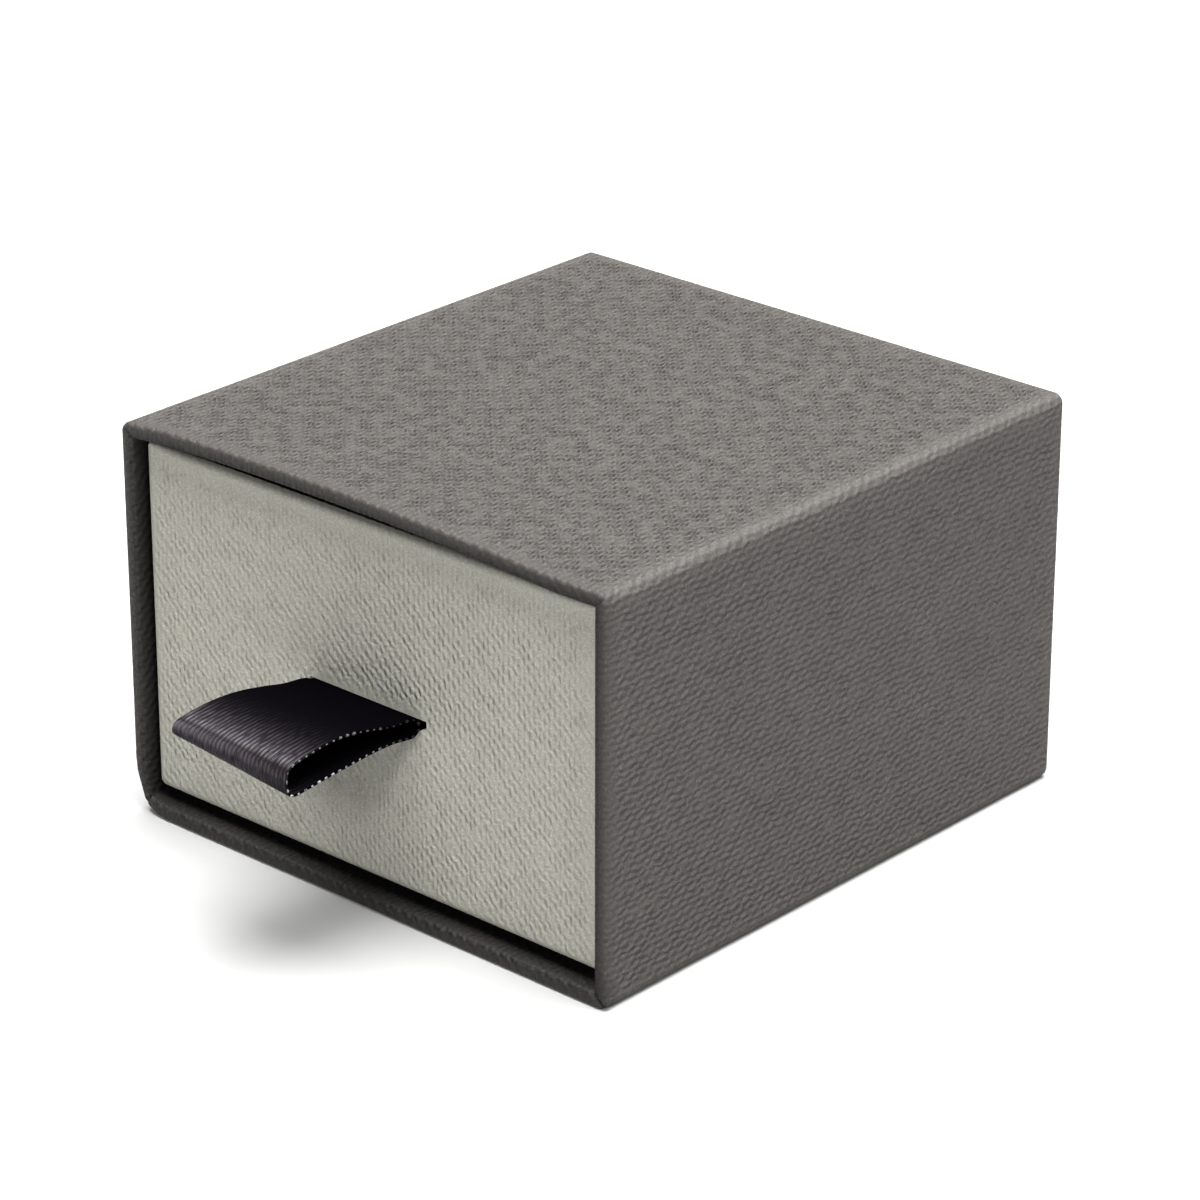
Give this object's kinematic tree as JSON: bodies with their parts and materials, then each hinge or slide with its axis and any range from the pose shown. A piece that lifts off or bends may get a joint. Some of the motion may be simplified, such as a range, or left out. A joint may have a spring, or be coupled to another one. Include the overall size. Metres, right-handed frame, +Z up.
{
  "type": "sliding drawer gift box",
  "caption": "Small paper-covered sleeve box, closed at the back, with a tray that slides out of its mouth by a satin ribbon loop and holds a slotted pad.",
  "frame": {"origin": "middle of the sleeve's underside, on the surface the box stands on", "axes": "+Z up; the drawer's front faces -Y and the drawer opens along -Y; +X is to the right when facing the drawer"},
  "size_m": [0.056, 0.0747, 0.037],
  "materials": {
    "grey_board": "matte",
    "dark_linen_paper": "matte",
    "dark_lining_paper": "matte",
    "pale_linen_paper": "matte",
    "pale_lining_paper": "matte",
    "pale_card": "matte",
    "satin_ribbon": "satin",
    "flocked_foam": "matte"
  },
  "bodies": {
    "sleeve": {"sleeve_top_board": "grey_board", "sleeve_bottom_board": "grey_board", "sleeve_left_board": "grey_board", "sleeve_right_board": "grey_board", "sleeve_back_board": "grey_board", "sleeve_wrap": "dark_linen_paper", "sleeve_back_paper": "dark_linen_paper", "sleeve_lining": "dark_lining_paper"},
    "drawer": {"drawer_front_board": "grey_board", "drawer_back_board": "grey_board", "drawer_left_board": "grey_board", "drawer_right_board": "grey_board", "drawer_bottom_board": "grey_board", "drawer_wrap": "pale_linen_paper", "drawer_base_paper": "pale_linen_paper", "drawer_lining": "pale_lining_paper", "drawer_floor_paper": "pale_lining_paper", "ribbon_tail_upper": "satin_ribbon", "ribbon_tail_lower": "satin_ribbon", "ribbon_cover_card": "pale_card", "insert_base_card": "grey_board", "insert_pad": "flocked_foam"},
    "ribbon": {"ribbon_loop": "satin_ribbon"}
  },
  "joints": [
    {"name": "drawer_slide", "type": "slide", "parent": "sleeve", "child": "drawer", "axis": [0, -1, 0], "range_m": [0, 0.0575]},
    {"name": "ribbon_fold", "type": "hinge", "parent": "drawer", "child": "ribbon", "pos_m": [0, -0.0291, 0.0186], "axis": [-1, 0, 0], "range_deg": [-80, 70], "stiffness_Nm_per_rad": 0.0001}
  ]
}
